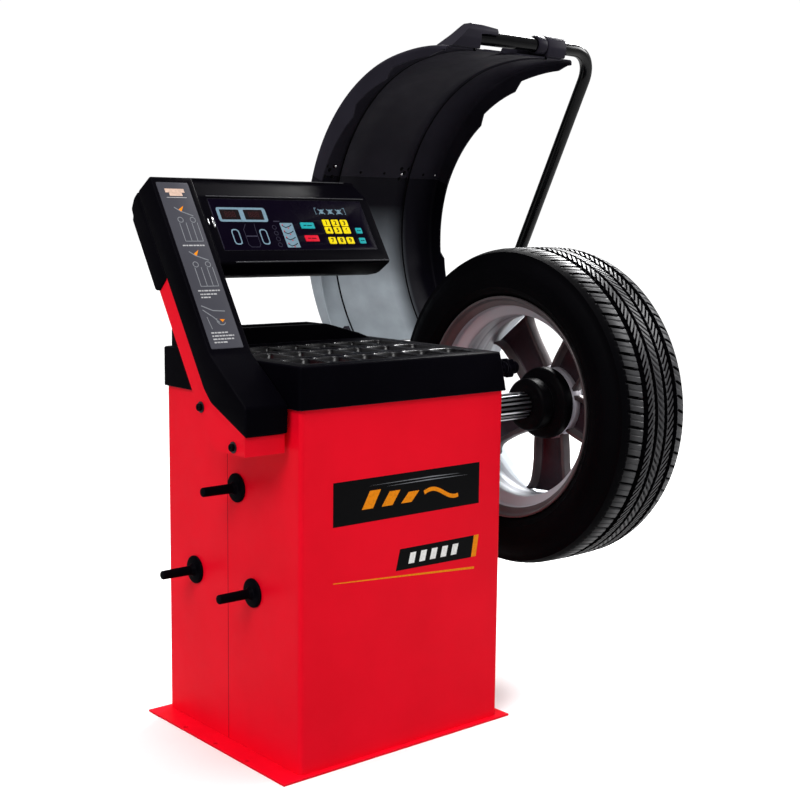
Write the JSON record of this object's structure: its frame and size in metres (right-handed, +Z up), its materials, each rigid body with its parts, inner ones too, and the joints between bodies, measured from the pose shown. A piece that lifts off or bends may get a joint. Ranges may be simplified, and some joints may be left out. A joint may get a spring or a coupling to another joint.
{
  "type": "wheel balancer",
  "caption": "Cabinet wheel balancer with leaning keypad console, weight tray, swing-over hood and a car wheel clamped on its spindle.",
  "frame": {"origin": "on the floor, at the base plate's underside under the centre of the cabinet", "axes": "+X along the spindle towards the wheel, +Y to the rear, +Z up"},
  "size_m": [1.0586, 0.813, 1.352],
  "materials": {
    "red_paint": "gloss powder coat",
    "black_plastic": "fine-grained black moulding",
    "hood_plastic": "satin black moulding",
    "black_steel": "black powder coat",
    "aluminium": "as cast and machined",
    "rim_aluminium": "silver lacquered casting",
    "steel": "ground",
    "nut_iron": "blackened",
    "belt_rubber": "ribbed belt",
    "tyre_rubber": "tyre rubber",
    "motor_enamel": "grey enamel",
    "circuit_board": "green board",
    "panel_gloss": "glossy overlay",
    "label_grey": "printed label",
    "key_yellow": "key cap",
    "key_teal": "key cap",
    "key_red": "key cap"
  },
  "bodies": {
    "root": {"base_plate": "red_paint", "bearing_inner": "steel", "bearing_outer": "steel", "bracket_bolt_lower": "steel", "bracket_bolt_upper": "steel", "cabinet_front_shell": "red_paint", "cabinet_rear_shell": "red_paint", "column_bracket": "red_paint", "column_cover": "black_plastic", "column_head": "black_plastic", "console_back_cover": "black_plastic", "console_housing": "black_plastic", "control_board": "circuit_board", "display_board": "circuit_board", "drive_belt": "belt_rubber", "encoder_sensor": "black_plastic", "force_sensor_inner": "steel", "force_sensor_outer": "steel", "hood_bracket": "black_steel", "instruction_panel": "label_grey", "keypad_panel": "panel_gloss", "mains_inlet": "black_plastic", "motor": "motor_enamel", "spindle_housing": "aluminium", "spindle_pedestal": "black_steel", "storage_pin_1": "black_plastic", "storage_pin_2": "black_plastic", "storage_pin_3": "black_plastic", "switch_frame": "black_plastic", "weight_tray": "black_plastic"},
    "spindle": {"spindle_shaft": "steel", "spindle_flange": "black_steel", "spindle_pulley": "aluminium", "encoder_disc": "steel"},
    "cone": {"centering_cone": "steel"},
    "motor_rotor": {"motor_pulley": "aluminium"},
    "wheel": {"wheel_rim": "rim_aluminium", "tyre": "tyre_rubber"},
    "nut": {"quick_nut": "nut_iron"},
    "gauge": {"gauge_rod": "steel", "gauge_head": "black_plastic"},
    "hood": {"hood_tube": "black_steel", "hood_shell_lower": "hood_plastic", "hood_shell_upper": "hood_plastic", "hood_clamp_left": "hood_plastic", "hood_clamp_right": "hood_plastic"},
    "switch": {"switch_rocker": "key_red"},
    "key_number_1": {"key_number_1": "key_yellow"},
    "key_number_2": {"key_number_2": "key_yellow"},
    "key_number_3": {"key_number_3": "key_yellow"},
    "key_number_4": {"key_number_4": "key_yellow"},
    "key_number_5": {"key_number_5": "key_yellow"},
    "key_number_6": {"key_number_6": "key_yellow"},
    "key_number_7": {"key_number_7": "key_yellow"},
    "key_number_8": {"key_number_8": "key_yellow"},
    "key_number_9": {"key_number_9": "key_yellow"},
    "key_upper_small": {"key_upper_small": "key_teal"},
    "key_lower_small": {"key_lower_small": "key_teal"},
    "key_start": {"key_start": "key_teal"},
    "key_stop": {"key_stop": "key_red"}
  },
  "joints": [
    {"name": "spindle_spin", "type": "hinge", "parent": "root", "child": "spindle", "pos_m": [0, -0.024, 0.574], "axis": [1, 0, 0], "continuous": true},
    {"name": "motor_spin", "type": "hinge", "parent": "root", "child": "motor_rotor", "pos_m": [0, -0.024, 0.3], "axis": [1, 0, 0], "continuous": true},
    {"name": "wheel_slide", "type": "slide", "parent": "spindle", "child": "wheel", "axis": [1, 0, 0], "range_m": [0, 0.055]},
    {"name": "nut_slide", "type": "slide", "parent": "wheel", "child": "nut", "axis": [1, 0, 0], "range_m": [0, 0.1]},
    {"name": "cone_slide", "type": "slide", "parent": "spindle", "child": "cone", "axis": [-1, 0, 0], "range_m": [0, 0.005], "stiffness_N_per_m": 1500, "springref_m": -0.006},
    {"name": "gauge_slide", "type": "slide", "parent": "root", "child": "gauge", "axis": [1, 0, 0], "range_m": [0, 0.15]},
    {"name": "hood_swing", "type": "hinge", "parent": "root", "child": "hood", "pos_m": [0, 0.325, 0.668], "axis": [1, 0, 0], "range_deg": [0, 60]},
    {"name": "switch_rock", "type": "hinge", "parent": "root", "child": "switch", "pos_m": [-0.1, 0.2125, 0.3], "axis": [1, 0, 0], "range_deg": [0, 14]},
    {"name": "key_number_1_press", "type": "slide", "parent": "root", "child": "key_number_1", "axis": [0, 0.8434, -0.5373], "range_m": [0, 0.0008], "stiffness_N_per_m": 400, "springref_m": -0.0015},
    {"name": "key_number_2_press", "type": "slide", "parent": "root", "child": "key_number_2", "axis": [0, 0.8434, -0.5373], "range_m": [0, 0.0008], "stiffness_N_per_m": 400, "springref_m": -0.0015},
    {"name": "key_number_3_press", "type": "slide", "parent": "root", "child": "key_number_3", "axis": [0, 0.8434, -0.5373], "range_m": [0, 0.0008], "stiffness_N_per_m": 400, "springref_m": -0.0015},
    {"name": "key_number_4_press", "type": "slide", "parent": "root", "child": "key_number_4", "axis": [0, 0.8434, -0.5373], "range_m": [0, 0.0008], "stiffness_N_per_m": 400, "springref_m": -0.0015},
    {"name": "key_number_5_press", "type": "slide", "parent": "root", "child": "key_number_5", "axis": [0, 0.8434, -0.5373], "range_m": [0, 0.0008], "stiffness_N_per_m": 400, "springref_m": -0.0015},
    {"name": "key_number_6_press", "type": "slide", "parent": "root", "child": "key_number_6", "axis": [0, 0.8434, -0.5373], "range_m": [0, 0.0008], "stiffness_N_per_m": 400, "springref_m": -0.0015},
    {"name": "key_number_7_press", "type": "slide", "parent": "root", "child": "key_number_7", "axis": [0, 0.8434, -0.5373], "range_m": [0, 0.0008], "stiffness_N_per_m": 400, "springref_m": -0.0015},
    {"name": "key_number_8_press", "type": "slide", "parent": "root", "child": "key_number_8", "axis": [0, 0.8434, -0.5373], "range_m": [0, 0.0008], "stiffness_N_per_m": 400, "springref_m": -0.0015},
    {"name": "key_number_9_press", "type": "slide", "parent": "root", "child": "key_number_9", "axis": [0, 0.8434, -0.5373], "range_m": [0, 0.0008], "stiffness_N_per_m": 400, "springref_m": -0.0015},
    {"name": "key_upper_small_press", "type": "slide", "parent": "root", "child": "key_upper_small", "axis": [0, 0.8434, -0.5373], "range_m": [0, 0.0008], "stiffness_N_per_m": 400, "springref_m": -0.0015},
    {"name": "key_lower_small_press", "type": "slide", "parent": "root", "child": "key_lower_small", "axis": [0, 0.8434, -0.5373], "range_m": [0, 0.0008], "stiffness_N_per_m": 400, "springref_m": -0.0015},
    {"name": "key_start_press", "type": "slide", "parent": "root", "child": "key_start", "axis": [0, 0.8434, -0.5373], "range_m": [0, 0.0008], "stiffness_N_per_m": 400, "springref_m": -0.0015},
    {"name": "key_stop_press", "type": "slide", "parent": "root", "child": "key_stop", "axis": [0, 0.8434, -0.5373], "range_m": [0, 0.0008], "stiffness_N_per_m": 400, "springref_m": -0.0015}
  ],
  "couplings": [
    {"joint": "motor_spin", "follows": "spindle_spin", "ratio": 3}
  ]
}
